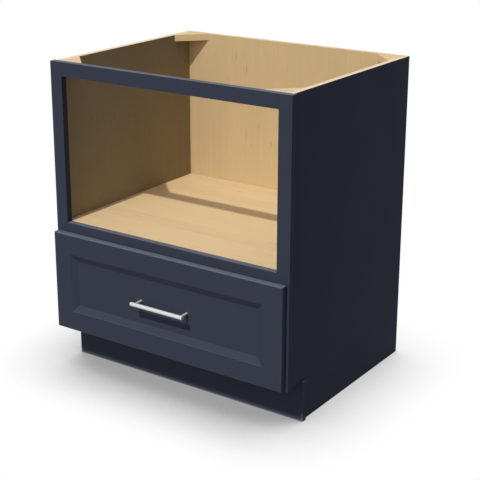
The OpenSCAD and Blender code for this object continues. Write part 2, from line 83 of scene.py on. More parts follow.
# %% Sizes read from the frame
front_low, front_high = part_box("front_bottom_rail")[0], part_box("front_top_rail")[1]
panel_low, panel_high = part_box("front_center_panel")
frame_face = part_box("left_stile")[0].y
outer_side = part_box("right_side_panel")[1].x
front_width = front_high.x - front_low.x
front_height = front_high.z - front_low.z
front_middle = (front_low.z + front_high.z) / 2
print("drawer front:", [round(x / MM, 1) for x in (front_width, front_height)], "mm")

# %% Sizes of the drawer front's moulding
FLAT_WIDTH = 57.15 * MM
BEVEL_WIDTH = 18.5 * MM
SHOULDER = 0.3 * MM
SHOULDER_RISE = 0.02 * MM
QUIRK = 0.3 * MM
GROOVE_DEPTH = 9.5 * MM
OUTER_RADIUS = 3 * MM
recess = panel_low.y - front_low.y
panel_thickness = panel_high.y - panel_low.y
print("panel behind the face by", round(recess / MM, 2), "mm")

# %% Small sizes of a sanded and finished cabinet
BOARD_EASE = 0.6 * MM
PLY_EASE = 0.35 * MM
STEEL_EASE = 0.25 * MM
SMALL_EASE = 0.3 * MM
LONG_EDGE = 9 * MM
NEAR = 1 * MM
AT_END = 0.1 * MM
SHARP_ANGLE = math.radians(40)
SMOOTH_ANGLE = math.radians(35)
print("painted boards are eased by", BOARD_EASE / MM, "mm")

# %% [markdown]
# ## Working in edit mode
#
# Each operator acts on whatever is selected, so a helper opens edit mode on one piece with nothing
# selected, and closes it again. Edges and faces are then chosen in code, by their place or their
# direction, as a person would click them.

# %% Select one piece, and edit it


def only(*pieces):
    """Selects these pieces alone, and makes the last one active."""
    bpy.ops.object.select_all(action="DESELECT")
    for piece in pieces:
        piece.select_set(True)
    bpy.context.view_layer.objects.active = pieces[-1]


@contextmanager
def editing(piece, mode="EDGE"):
    """Edit mode on one piece, with nothing selected yet."""
    only(piece)
    bpy.ops.object.mode_set(mode="EDIT")
    bpy.ops.mesh.select_mode(type=mode)
    bpy.ops.mesh.select_all(action="DESELECT")
    yield
    bpy.ops.object.mode_set(mode="OBJECT")


def pick(piece, kind, wanted):
    """Selects the edges or faces that wanted() says yes to, and returns how many."""
    mesh = bmesh.from_edit_mesh(piece.data)
    chosen = [part for part in getattr(mesh, kind) if wanted(part)]
    for part in chosen:
        part.select_set(True)
    bmesh.update_edit_mesh(piece.data)
    return len(chosen)


# %% Which way an edge or a face runs, and whether it is sharp
PARALLEL = 0.999
FACES_AXIS = 0.9


def middle(edge):
    """The middle point of an edge."""
    return (edge.verts[0].co + edge.verts[1].co) / 2


def runs_along(edge, axis):
    """True if the edge is parallel to axis 0, 1 or 2."""
    run = edge.verts[1].co - edge.verts[0].co
    return abs(run[axis]) > PARALLEL * run.length


def is_sharp(edge):
    """True if the two faces at this edge meet at a clear angle."""
    return len(edge.link_faces) == 2 and edge.calc_face_angle(0) > SHARP_ANGLE


def faces_down(face):
    """True if the face looks down."""
    return face.normal.z < -FACES_AXIS


# %% [markdown]
# ## Eased edges
#
# No real board has a perfectly sharp edge. Sandpaper and paint round it by about half a
# millimetre, and that thin rounding catches the light. A bevel of two segments does it. The
# weighted normal modifier then keeps the big faces flat under smooth shading. The narrow faces of
# each rounding also get an attribute, so that the paint can be a little paler there: partly thin
# paint, partly a painted highlight.

# %% Ease the edges


def ease(piece, width, wanted=lambda edge: True, segments=2):
    """Rounds the sharp edges that wanted() picks, by width."""
    with editing(piece):
        count = pick(piece, "edges", lambda edge: is_sharp(edge) and wanted(edge))
        if count:
            bpy.ops.mesh.bevel(offset=width, segments=segments, affect="EDGES", clamp_overlap=False)
    return count


# %% Mark the rounded edges, and finish the surface
WIDEST_EASE = 0.85 * MM


def mark_edges(piece):
    """Sets the attribute eased to 1 on the narrow faces, and to 0 on the others."""
    eased = piece.data.attributes.new("eased", "FLOAT", "FACE")
    for face in piece.data.polygons:
        corners = [piece.data.vertices[index].co for index in face.vertices]
        longest = max((a - b).length for a, b in zip(corners, corners[1:] + corners[:1]))
        eased.data[face.index].value = float(face.area < WIDEST_EASE * longest)


def finish_surface(piece):
    """Smooth shading across small angles, with the large faces kept flat."""
    mark_edges(piece)
    only(piece)
    bpy.ops.object.shade_smooth_by_angle(angle=SMOOTH_ANGLE)
    weighted = piece.modifiers.new("flat_faces", "WEIGHTED_NORMAL")
    weighted.keep_sharp = True
    bpy.ops.object.modifier_apply(modifier=weighted.name)


# %% Stand for a CAD node


def stands_for(piece, node, finish):
    """The piece takes the node's place and body, and gets its finish."""
    piece.data.materials.clear()
    piece.data.materials.append(finish)
    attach(piece, nodes[node]["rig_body"])
    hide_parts(node)


# %% [markdown]
# ## Shader maths as plain expressions
#
# A finish is a graph of nodes, and most of them only add or multiply. A small class wraps one
# socket, so that Python's own operators add those Math nodes, and one method adds any other node.
# The recipes below then read like formulas.

# %% A socket that can be added and multiplied


class Value:
    """One output of a finish's graph."""

    def __init__(self, finish, socket):
        self.finish = finish
        self.socket = socket

    def output(self, name):
        """Another output of the same node."""
        return Value(self.finish, self.socket.node.outputs[name])

    def math(self, operation, *others):
        """A Math node on this output and the others."""
        return self.finish.node("Math", {"operation": operation}, dict(enumerate((self, *others))))

    def __add__(self, other):
        return self.math("ADD", other)

    def __sub__(self, other):
        return self.math("SUBTRACT", other)

    def __mul__(self, other):
        return self.math("MULTIPLY", other)

    def __rsub__(self, other):
        return self.finish.node("Math", {"operation": "SUBTRACT"}, {0: other, 1: self})

    __radd__ = __add__
    __rmul__ = __mul__

    def over(self, low, high):
        """0 below low, 1 above high, and a smooth step between."""
        sockets = {"Value": self, "From Min": low, "From Max": high}
        return self.finish.node("MapRange", {"interpolation_type": "SMOOTHSTEP"}, sockets)


# %% Colours as a screen shows them


def colour(red, green, blue):
    """A colour from 0 to 255, as a screen shows it, turned into light by the sRGB curve."""
    light = [((c / 255 + 0.055) / 1.055) ** 2.4 for c in (red, green, blue)]
    return (*light, 1)


def shaded(tone, level):
    """The same colour, lighter or darker."""
    return (*(c * level for c in tone[:3]), 1)


# %% A material that is put together from nodes


class Finish:
    """One material while its graph is being made."""

    def __init__(self, name):
        self.material = bpy.data.materials.new(name)
        self.material.use_nodes = True
        self.tree = self.material.node_tree
        self.tree.nodes.clear()
        self.place = self.node("TexCoord", out="Object")

    def node(self, kind, settings=None, sockets=None, out=0):
        """Adds a node: its settings first, then the values or links of its sockets."""
        made = self.tree.nodes.new("ShaderNode" + kind)
        for name, value in (settings or {}).items():
            setattr(made, name, value)
        for name, value in (sockets or {}).items():
            if isinstance(value, Value):
                self.tree.links.new(value.socket, made.inputs[name])
            else:
                made.inputs[name].default_value = value
        return Value(self, made.outputs[out])

    def mix(self, share, first, second):
        """A colour between two colours."""
        return self.node("Mix", {"data_type": "RGBA"}, {0: share, 6: first, 7: second}, out=2)

    def parts(self, vector):
        """The X of a vector; its Y and Z are the node's other outputs."""
        return self.node("SeparateXYZ", None, {0: vector})

    def facing(self):
        """Which way the surface looks, as X, Y and Z."""
        return self.parts(self.node("TexCoord", out="Normal"))

    def noise(self, place, scale=1.0, detail=3.0, roughness=0.5):
        """Cloudy noise from 0 to 1; scale is in clouds per unit of place."""
        sockets = {"Vector": place, "Scale": scale, "Detail": detail, "Roughness": roughness}
        return self.node("TexNoise", None, sockets)

    def bump(self, height, distance, below=None):
        """Turns a height from 0 to 1 into a dent or rise of this distance in metres."""
        sockets = {"Height": height, "Distance": distance}
        if below is not None:
            sockets["Normal"] = below
        return self.node("Bump", None, sockets)

    def end(self, shader):
        """Ends the graph in this shader."""
        output = self.tree.nodes.new("ShaderNodeOutputMaterial")
        self.tree.links.new(shader.socket, output.inputs["Surface"])
        return self.material

    def surface(self, **sockets):
        """Ends the graph in one principled surface, and returns the material."""
        named = {name.replace("_", " "): value for name, value in sockets.items()}
        return self.end(self.node("BsdfPrincipled", None, named))


# %% [markdown]
# ## Grain
#
# Wood looks the way it does because its fibres all run one way. So each wooden finish first turns
# the object's coordinates until the grain runs along Z, in millimetres. Every pattern after that
# is simply long in Z and narrow across it, and a shift per board keeps neighbours from matching.

# %% Coordinates with the grain along Z
GRAIN_TURN = {
    "X": (0, -math.pi / 2, 0),
    "Y": (math.pi / 2, 0, 0),
    "Z": (0, 0, 0),
}
BOARD_SHIFT = (131.7, 57.3, 311.1)


def grain_place(finish, grain, shift):
    """The place on the object in millimetres, turned so that the grain runs along Z."""
    sockets = {
        "Vector": finish.place,
        "Location": [shift * step for step in BOARD_SHIFT],
        "Rotation": GRAIN_TURN[grain],
        "Scale": (1 / MM, 1 / MM, 1 / MM),
    }
    return finish.node("Mapping", None, sockets)


def stretched(finish, place, across, along):
    """The same place, scaled so that a pattern is across wide and along long, in millimetres."""
    sockets = {"Vector": place, "Scale": (1 / across, 1 / across, 1 / along)}
    return finish.node("Mapping", None, sockets)


# %% [markdown]
# ## Maple and birch
#
# The inside is clear-finished maple veneer: pale gold and nearly plain, with fine fibres, soft
# strips where one leaf of veneer meets the next, and a few thin brown lines. An image could show
# that, but it would repeat and blur. Here noise stretched along the grain gives the fibres. The
# brown lines are level lines of a slow noise, which wander as growth rings do, and a second noise
# hides most of each. The drawer box is solid birch, so its dovetails also show darker end grain.

# %% The wood recipe; each pattern's size is in millimetres, across the grain and along it
WOOD_FIBRE = (0.5, 34)
WOOD_CLOUD = (55, 300)
WOOD_GROWTH = (36, 460)
WOOD_PATCH = (7, 52)
RINGS = 6
LEAF_STEP = 17.3
PALE_WOOD, DARK_WOOD, BROWN_LINE = 1.12, 0.84, 0.42
GRAIN_DEPTH = 0.03 * MM


def wood_layers(finish, place, leaf, tone):
    """Colour and height of one wooden surface."""
    parts = finish.parts(place)
    along = parts.output("Z")
    across = parts + parts.output("Y")
    strip = (across * (1 / leaf)).math("FLOOR")
    leaf_tone = finish.node("TexWhiteNoise", {"noise_dimensions": "1D"}, {"W": strip})
    flat = finish.node("CombineXYZ", None, {"X": across, "Y": strip * LEAF_STEP, "Z": along})

    fibres = finish.noise(stretched(finish, place, *WOOD_FIBRE), detail=4, roughness=0.6)
    cloud = finish.noise(stretched(finish, flat, *WOOD_CLOUD), detail=2)
    slow = finish.noise(stretched(finish, flat, *WOOD_GROWTH), detail=2.5, roughness=0.4)
    ring = (slow * RINGS).math("FRACT")
    patch = finish.noise(stretched(finish, flat, *WOOD_PATCH), detail=2)
    line = 1 - (ring - 0.5).math("ABSOLUTE").over(0.01, 0.055)
    streak = line * patch.over(0.57, 0.7)

    share = 0.07 + fibres * 0.35 + cloud * 0.3 + ring * 0.1 + (leaf_tone - 0.5) * 0.22
    body = finish.mix(share, shaded(tone, PALE_WOOD), shaded(tone, DARK_WOOD))
    lined = finish.mix(streak * 0.5, body, shaded(tone, BROWN_LINE))
    return lined, fibres * 0.6 - streak * 0.4


# %% Veneer as one material
MAPLE = colour(194, 167, 124)
# Painted light: a paler copy of the maple for the niche shelf and the corner blocks, whose tops
# face the light from above.
TOP_LIT_MAPLE = colour(209, 181, 137)
BIRCH = colour(214, 186, 146)
WOOD_SHINE = 0.15
LEAF_WIDTH = 58
SIDE_LEAF_WIDTH = 76
SOLID_BOARD_WIDTH = 240
END_PORE = (0.7, 0.7)
CUT_FACE = (0.6, 0.8)
PALE_END, DARK_END = 0.68, 0.44


def with_end_grain(finish, grain, place, shade, tone):
    """Darker cut fibres with fine pores on the faces that look along the grain."""
    cut_across = finish.facing().output(grain).math("ABSOLUTE").over(*CUT_FACE)
    pores = finish.noise(stretched(finish, place, *END_PORE), detail=3, roughness=0.7)
    cut_tone = finish.mix(pores.over(0.35, 0.65), shaded(tone, PALE_END), shaded(tone, DARK_END))
    return finish.mix(cut_across, shade, cut_tone)


def veneer(name, grain, shift, tone=MAPLE, leaf=LEAF_WIDTH, solid=False):
    """Clear-finished veneer, or solid wood with end grain."""
    finish = Finish(name)
    place = grain_place(finish, grain, shift)
    shade, height = wood_layers(finish, place, leaf, tone)
    if solid:
        shade = with_end_grain(finish, grain, place, shade, tone)
    rough = 0.46 + finish.noise(place, 0.05) * 0.12
    normal = finish.bump(height, GRAIN_DEPTH)
    return finish.surface(
        Base_Color=shade, Roughness=rough, Specular_IOR_Level=WOOD_SHINE, Normal=normal
    )


# %% [markdown]
# ## Navy paint
#
# The outside is sprayed with a matt lacquer over maple. Seen close, sprayed lacquer has a soft
# orange-peel surface, and the grain of the wood still shows through it as faint lines. Its colour
# is one flat navy. Where a face looks up it is painted paler, as a painted highlight of the light
# from above, and the rounded edges are a little paler too, partly thin paint and partly a painted
# highlight. An edge mask alone would outline every board, so the direction of the face has the
# larger say. The toe board also has a painted strip of sunlight along the floor.

# %% The paint recipe; the sizes of its patterns and of the painted lit strip are in millimetres
NAVY = colour(54, 57, 69)
PALE_PAINT, DARK_PAINT = 1.08, 0.92
# Paler navy for painted light and wear: the painted highlight on up-facing faces, the painted strip
# of sunlight on the toe board, and thin paint on rounded edges.
LIT_AND_WORN_NAVY = colour(96, 99, 108)
PAINT_SHINE = 0.022
PAINT_FIBRE = (0.9, 60)
PAINT_CLOUD_SCALE = 0.006
PEEL_SCALE = 0.42
FIBRE_DEPTH = 0.02 * MM
PEEL_DEPTH = 0.025 * MM
# Height in millimetres and strength of the painted strip of sunlight along the toe board's foot.
LIT_STRIP_HEIGHT = 17
TOE_LIT_STRIP = 0.95
# How far a face must look up before it gets the painted highlight.
TOP_HIGHLIGHT_SPAN = (0.35, 0.85)


def paint_layers(finish, place):
    """Colour, roughness and normal of the navy lacquer."""
    fibres = finish.noise(stretched(finish, place, *PAINT_FIBRE), detail=4, roughness=0.6)
    cloud = finish.noise(place, PAINT_CLOUD_SCALE, detail=2)
    peel = finish.noise(place, PEEL_SCALE, detail=2, roughness=0.4)
    eased = finish.node("Attribute", {"attribute_name": "eased"}, out="Fac")
    # Painted highlight: faces that look up are painted paler, as if lit from above.
    top_highlight = finish.facing().output("Z").over(*TOP_HIGHLIGHT_SPAN)
    # Painted highlight on up-facing faces, plus thin paint and painted highlight on the rounded
    # edges.
    highlight_and_wear = (eased * 0.15 + top_highlight) * (0.6 + finish.noise(place, 0.05) * 0.6)
    share = cloud * 0.7 + fibres * 0.3
    tone = finish.mix(share, shaded(NAVY, PALE_PAINT), shaded(NAVY, DARK_PAINT))
    rough = 0.48 + cloud * 0.08 + fibres * 0.05
    normal = finish.bump(peel, PEEL_DEPTH, below=finish.bump(fibres, FIBRE_DEPTH))
    return finish.mix(highlight_and_wear, tone, LIT_AND_WORN_NAVY), rough, normal


def navy(name, grain, shift, lit_strip=0.0):
    """Navy lacquer over wood; lit_strip is the strength of painted sunlight close to the floor."""
    finish = Finish(name)
    tone, rough, normal = paint_layers(finish, grain_place(finish, grain, shift))
    # Painted light: close to the floor the navy is painted paler, a strip of sunlight under the
    # drawer front.
    if lit_strip:
        height = finish.parts(finish.place).output("Z") * (1 / MM)
        tone = finish.mix((1 - height.over(0, LIT_STRIP_HEIGHT)) * lit_strip, tone, LIT_AND_WORN_NAVY)
    return finish.surface(
        Base_Color=tone, Roughness=rough, Specular_IOR_Level=PAINT_SHINE, Normal=normal
    )


# %% [markdown]
# ## Side panels, painted on one face
#
# A side panel is a sheet of plywood with lacquer on its outer face only. It could be cut into two
# pieces for that. One material is simpler: a mask that reads how far out a point is picks the
# paint, and everything inward of it is bare veneer, with pale layers showing on the cut edges.

# %% The side panel recipe; its layers and the paint's depth are in millimetres
PLY_LAYER = 2.27
PLY_DARK = colour(186, 156, 114)
PLY_PALE = colour(232, 211, 180)
PLY_FLECK = colour(206, 176, 134)
PLY_FLECK_SIZE = (1.2, 5)
PAINT_ENDS = (0.2, 0.45)
SIDE_FACE = (0.35, 0.6)
# Painted shade: the inside of the side panels is a darker, greyer copy of the maple, standing in
# for the shade on the niche's side walls.
SHADED_SIDE_MAPLE = colour(142, 128, 102)


def side_finish(name, side, shift):
    """Navy outside, veneer inside and pale layered edges."""
    finish = Finish(name)
    place = grain_place(finish, "Z", shift)
    # The inside veneer uses the darker copy of the maple: painted shade.
    inside, height = wood_layers(finish, place, SIDE_LEAF_WIDTH, SHADED_SIDE_MAPLE)
    navy_tone, navy_rough, navy_normal = paint_layers(finish, place)

    depth = (outer_side - finish.parts(finish.place) * side) * (1 / MM)
    edge = 1 - finish.facing().math("ABSOLUTE").over(*SIDE_FACE)
    layer = (depth * (1 / PLY_LAYER)).math("PINGPONG", 1.0)
    ply = finish.mix(layer.over(0.02, 0.2), PLY_DARK, PLY_PALE)
    flecks = finish.noise(stretched(finish, place, *PLY_FLECK_SIZE)) * 0.3
    ply = finish.mix(flecks, ply, PLY_FLECK)
    painted = 1 - depth.over(*PAINT_ENDS)

    shade = finish.mix(painted, finish.mix(edge, inside, ply), navy_tone)
    rough = painted * navy_rough + (1 - painted) * 0.5
    normals = {0: painted, 4: finish.bump(height, GRAIN_DEPTH), 5: navy_normal}
    normal = finish.node("Mix", {"data_type": "VECTOR"}, normals, out=1)
    return finish.surface(
        Base_Color=shade, Roughness=rough, Specular_IOR_Level=PAINT_SHINE, Normal=normal
    )


# %% [markdown]
# ## Metal and rubber
#
# The handle is satin nickel, brushed along the bar. Its fine scratches scatter most of the light,
# so it is mostly a pale rough surface and only a small share mirror. The slides are rolled steel
# with a bright zinc coat, the balls and screws are plainer steel, and the bumpers are soft grey
# rubber. Each gets fine lines or clouds that change its roughness, because that is what makes
# metal look handled.

# %% Metal finishes
BRUSH_DEPTH = 0.006 * MM


def metal(name, tone, rough, grain="X", across=0.12, along=9.0, spread=0.14, metallic=1.0):
    """Brushed or rolled metal, with fine lines along its grain."""
    finish = Finish(name)
    place = grain_place(finish, grain, 1)
    lines = finish.noise(stretched(finish, place, across, along), detail=3, roughness=0.6)
    cloud = finish.noise(place, 0.09, detail=3)
    return finish.surface(
        Base_Color=finish.mix(lines * 0.5 + cloud * 0.5, tone, shaded(tone, 0.86)),
        Metallic=metallic,
        Roughness=rough + (lines - 0.5) * spread + (cloud - 0.5) * 0.1,
        Normal=finish.bump(lines, BRUSH_DEPTH),
    )


nickel_finish = metal("satin_nickel", colour(208, 208, 205), 0.38, metallic=0.15)
zinc_finish = metal(
    "zinc_plated_steel", colour(196, 201, 207), 0.34, grain="Y", across=0.3, along=22
)
cage_finish = metal("stamped_steel", colour(168, 171, 176), 0.42, grain="Y")
ball_finish = metal("polished_balls", colour(214, 214, 218), 0.14, spread=0.04)
screw_finish = metal("plated_screws", colour(204, 202, 194), 0.28, grain="Z", across=0.2, along=1.2)
print("metal finishes: nickel, zinc, stamped steel, balls, screws")

# %% Rubber finish
RUBBER = colour(70, 70, 72)
DUSTY_RUBBER = colour(104, 103, 102)
PIT_DEPTH = 0.05 * MM


def rubber(name):
    """Soft grey rubber with a dusty, slightly pitted skin."""
    finish = Finish(name)
    place = grain_place(finish, "Z", 2)
    pits = finish.noise(place, 2.6, detail=3, roughness=0.7)
    dust = finish.noise(place, 0.4, detail=4)
    tone = finish.mix(dust * 0.6, RUBBER, DUSTY_RUBBER)
    rough = 0.62 + pits * 0.2
    return finish.surface(Base_Color=tone, Roughness=rough, Normal=finish.bump(pits, PIT_DEPTH))


rubber_finish = rubber("bumper_rubber_skin")
print("materials so far:", len(bpy.data.materials))

# %% [markdown]
# ## Plain boards
#
# A board that is a plain block is started as a cube at the node's own box. It could be left like
# that, but then its edges would be razor sharp, so the long edges are eased. The ends that butt
# against a neighbour stay crisp, which keeps the joint a hairline.

# %% A board from its box


def saw_board(name, low, high):
    """A block between two corners, named and ready to be shaped."""
    bpy.ops.object.select_all(action="DESELECT")
    bpy.ops.mesh.primitive_cube_add(size=1, location=(low + high) / 2, scale=high - low)
    board = bpy.context.object
    board.name = board.data.name = name
    bpy.ops.object.transform_apply(location=True, rotation=True, scale=True)
    return board


def eased_board(node, suffix, width, ends=True):
    """A board at the node's box; ends=False leaves the edges round its two ends crisp."""
    low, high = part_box(node)
    size = high - low
    long_axis = max(range(3), key=lambda axis: size[axis])
    board = saw_board(f"{node}_{suffix}", low, high)
    ease(board, width, lambda edge: ends or runs_along(edge, long_axis))
    finish_surface(board)
    return board


# %% Face frame: stiles run full height, and rails butt between them
painted_boards = (
    ("left_stile", "Z", True),
    ("right_stile", "Z", True),
    ("top_rail", "X", False),
    ("mid_rail", "X", False),
    ("bottom_rail", "X", False),
    ("toe_kick_board", "X", True),
)
for shift, (node, grain, ends) in enumerate(painted_boards, start=3):
    board = eased_board(node, "painted", BOARD_EASE, ends)
    # Only the toe board gets the painted strip of sunlight along the floor.
    lit_strip = TOE_LIT_STRIP if node == "toe_kick_board" else 0.0
    stands_for(board, node, navy(f"{node}_navy", grain, shift, lit_strip))
print("painted boards:", len(painted_boards))

# %% Veneered and bare boards inside the carcass
inside_boards = (
    ("back_panel", "maple_veneer", "Z", MAPLE),
    ("bottom_deck", "maple_veneer", "X", MAPLE),
    ("upper_hanging_rail", "bare_birch", "X", BIRCH),
    ("lower_hanging_rail", "bare_birch", "X", BIRCH),
    ("sub_toe_board", "bare_birch", "X", BIRCH),
    ("drawer_bottom", "drawer_birch", "X", BIRCH),
)
for shift, (node, slot, grain, tone) in enumerate(inside_boards, start=13):
    board = eased_board(node, "sanded", PLY_EASE)
    stands_for(board, node, veneer(f"{node}_veneer", grain, shift, tone))

# %% [markdown]
# ## Boards with joinery
#
# The side panels have dadoes and a toe notch, and the drawer box is dovetailed. Those shapes are
# already right in the CAD model, so a copy is taken. Its mesh is loose triangles, so it is merged
# and its flat triangles are dissolved first. Only then do the long edges make sense to a bevel.

# %% Copy a node and clean its mesh
MERGE_DISTANCE = 0.002 * MM
FLAT_ANGLE = math.radians(0.5)


def copy_of(node, suffix):
    """A merged copy of a CAD node's mesh, with its flat triangles joined into faces."""
    only(nodes[node])
    bpy.ops.object.duplicate()
    piece = bpy.context.object
    # The tags say that an object is a CAD node, which the copy isn't.
    for key in list(piece.keys()):
        del piece[key]
    piece.name = piece.data.name = f"{node}_{suffix}"
    piece.parent = None
    with editing(piece, "FACE"):
        bpy.ops.mesh.select_all(action="SELECT")
        bpy.ops.mesh.customdata_custom_splitnormals_clear()
        bpy.ops.mesh.remove_doubles(threshold=MERGE_DISTANCE)
        bpy.ops.mesh.dissolve_limited(angle_limit=FLAT_ANGLE)
    return piece


def eased_copy(node, suffix, width):
    """A clean copy of a node with its long sharp edges eased."""
    piece = copy_of(node, suffix)
    count = ease(piece, width, lambda edge: edge.calc_length() > LONG_EDGE)
    finish_surface(piece)
    print(piece.name, "eased edges:", count)
    return piece


# %% Side panels
for node, side in (("left_side_panel", -1), ("right_side_panel", 1)):
    piece = eased_copy(node, "finished", PLY_EASE)
    stands_for(piece, node, side_finish(f"{node}_finish", side, 20 + side))

# %% Niche shelf and slide spacers
piece = eased_copy("niche_shelf", "veneered", PLY_EASE)
stands_for(piece, "niche_shelf", veneer("niche_shelf_maple", "X", 23, TOP_LIT_MAPLE))

for shift, node in enumerate(("left_slide_spacer", "right_slide_spacer"), start=25):
    piece = eased_copy(node, "sanded", PLY_EASE)
    stands_for(piece, node, veneer(f"{node}_birch", "Y", shift, BIRCH))

# %% Drawer box with its dovetails
drawer_boards = (
    ("drawer_left_side", "Y"),
    ("drawer_right_side", "Y"),
    ("drawer_box_front", "X"),
    ("drawer_box_back", "X"),
)
for shift, (node, grain) in enumerate(drawer_boards, start=31):
    piece = eased_copy(node, "dovetailed", PLY_EASE)
    birch = veneer(f"{node}_birch", grain, shift, BIRCH, leaf=SOLID_BOARD_WIDTH, solid=True)
    stands_for(piece, node, birch)

# %% Corner blocks
for shift, end in enumerate(("front_left", "front_right", "rear_left", "rear_right"), start=40):
    node = f"{end}_corner_block"
    piece = eased_copy(node, "sanded", PLY_EASE)
    stands_for(piece, node, veneer(f"{end}_block_maple", "X", shift, TOP_LIT_MAPLE))

# %% [markdown]
# ## Drawer front
#
# The front is five pieces: four mitred members round a flat panel. A member starts as a board as
# wide as its flat face. Its inner face is pushed in for the shoulder, drawn out into the slope of
# the moulding, and grooved for the panel. Easing comes before the mitres, so the 45 degree cuts
# stay tight. The same steps make all four, and a turn about Y puts each one in place.

# %% Draw the moulding out of the inner face
face_y, back_y = front_low.y, front_high.y
CLOSE = 0.001 * MM


def top_of(piece):
    """The height of a piece's highest point."""
    return max(vert.co.z for vert in piece.data.vertices)


def extrude(height):
    """Draws the selected faces out along Z."""
    bpy.ops.mesh.extrude_region_move(TRANSFORM_OT_translate={"value": (0, 0, height)})


def raise_inner_face(member, height):
    """Extrudes the topmost face upwards."""
    top = top_of(member)
    with editing(member, "FACE"):
        pick(member, "faces", lambda face: face.calc_center_median().z > top - CLOSE)
        extrude(height)


def push_front_edge(member, depth):
    """Pushes the front edge of the topmost face back by a depth."""
    top = top_of(member)

    def is_front_edge(edge):
        spot = middle(edge)
        return runs_along(edge, 0) and spot.z > top - CLOSE and spot.y < back_y - NEAR

    with editing(member):
        pick(member, "edges", is_front_edge)
        bpy.ops.transform.translate(value=(0, depth, 0))


# %% Cut the groove and the mitres


def cut(piece, point, normal, clear=False):
    """Bisects a piece by a plane; clear=True throws away the side that the normal points to."""
    with editing(piece, "FACE"):
        bpy.ops.mesh.select_all(action="SELECT")
        bpy.ops.mesh.bisect(plane_co=point, plane_no=normal, use_fill=clear, clear_outer=clear)


def groove(member):
    """Sinks the groove that holds the panel into the inner face."""
    for depth in (recess, recess + panel_thickness):
        cut(member, (0, face_y + depth, 0), (0, 1, 0))
    groove_y = face_y + recess + panel_thickness / 2

    def is_groove_floor(face):
        return face.normal.z > FACES_AXIS and abs(face.calc_center_median().y - groove_y) < NEAR

    with editing(member, "FACE"):
        pick(member, "faces", is_groove_floor)
        extrude(-GROOVE_DEPTH)


def mitre(member, length, bottom):
    """Cuts both ends at 45 degrees."""
    for end in (-1, 1):
        cut(member, (end * length / 2, 0, bottom), (end, 0, 1), clear=True)


# %% Shape one member along X, with its outer edge at the bottom


def front_member(name, length, half_width):
    """A mitred member whose outer edge is half_width below the drawer front's middle."""
    bottom, flat_top = -half_width, -half_width + FLAT_WIDTH
    member = saw_board(
        name, Vector((-length / 2, face_y, bottom)), Vector((length / 2, back_y, flat_top))
    )
    raise_inner_face(member, SHOULDER_RISE)
    push_front_edge(member, SHOULDER)
    raise_inner_face(member, BEVEL_WIDTH - SHOULDER_RISE)
    push_front_edge(member, recess - QUIRK - SHOULDER)
    groove(member)

    def is_outer_edge(edge):
        spot = middle(edge)
        return runs_along(edge, 0) and spot.y < face_y + AT_END and spot.z < bottom + NEAR

    def is_small_edge(edge):
        at_shoulder = abs(middle(edge).z - flat_top) < NEAR
        return runs_along(edge, 0) and (at_shoulder or middle(edge).y > back_y - NEAR)

    ease(member, OUTER_RADIUS, is_outer_edge, segments=6)
    ease(member, SMALL_EASE, is_small_edge)
    mitre(member, length, bottom)
    finish_surface(member)
    return member


# %% Place the four members
quarter = math.pi / 2
members = (
    ("front_bottom_rail", front_width, front_height / 2, 0, "X"),
    ("front_top_rail", front_width, front_height / 2, 2 * quarter, "X"),
    ("front_left_stile", front_height, front_width / 2, quarter, "Z"),
    ("front_right_stile", front_height, front_width / 2, -quarter, "Z"),
)
for shift, (node, length, half_width, turn, grain) in enumerate(members, start=51):
    piece = front_member(f"{node}_moulded", length, half_width)
    piece.rotation_euler = (0, turn, 0)
    piece.location = (0, 0, front_middle)
    only(piece)
    bpy.ops.object.transform_apply(location=True, rotation=True, scale=True)
    stands_for(piece, node, navy(f"{node}_navy", grain, shift))
    print(piece.name, "faces:", len(piece.data.polygons))

# %% The flat panel between them
piece = eased_board("front_center_panel", "painted", PLY_EASE)
stands_for(piece, "front_center_panel", navy("front_center_panel_navy", "X", 57))

# %% [markdown]
# ## Handle
#
# The handle is a solid bar on two posts. The bar could be a curve with a round bevel, but a lathe
# thinks in cylinders, so it starts as one, laid along X. Its rims get a small turned rounding, and
# each end face a shallow ring. The posts end in a saddle that fits the bar, which the CAD model
# already has, so they are copies of it with a rounded foot.

# %% Turn a round bar


def turned(name, start, end, radius, vertices=48):
    """A cylinder between two points, named and applied."""
    bpy.ops.object.select_all(action="DESELECT")
    run = end - start
    angle = run.to_track_quat("Z", "Y").to_euler()
    centre = (start + end) / 2
    bpy.ops.mesh.primitive_cylinder_add(
        vertices=vertices, radius=radius, depth=run.length, location=centre, rotation=angle
    )
    rod = bpy.context.object
    rod.name = rod.data.name = name
    bpy.ops.object.transform_apply(location=True, rotation=True, scale=True)
    return rod


# %% Handle bar
RING_INSET = 2.2 * MM
RING_WIDTH = 0.25 * MM
RING_DEPTH = 0.12 * MM
BAR_EASE = 0.8 * MM
RIM_SHARE = 0.9


def is_rim(edge):
    """True for the edges round the bar's two ends, and not for those of the rings in them."""
    return (middle(edge) - bar_start).yz.length > bar_radius * RIM_SHARE


bar_low, bar_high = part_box("handle_bar")
bar_radius = (bar_high.z - bar_low.z) / 2
bar_start = Vector((bar_low.x, bar_low.y + bar_radius, bar_low.z + bar_radius))
bar_end = Vector((bar_high.x, bar_start.y, bar_start.z))
bar = turned("handle_bar_turned", bar_start, bar_end, bar_radius, vertices=64)
with editing(bar, "FACE"):
    pick(bar, "faces", lambda face: len(face.verts) > 4)
    bpy.ops.mesh.inset(thickness=RING_INSET, use_individual=True)
    bpy.ops.mesh.inset(thickness=RING_WIDTH, depth=-RING_DEPTH, use_individual=True)
ease(bar, BAR_EASE, is_rim, segments=4)
finish_surface(bar)
stands_for(bar, "handle_bar", nickel_finish)
print("handle bar radius:", round(bar_radius / MM, 2), "mm")

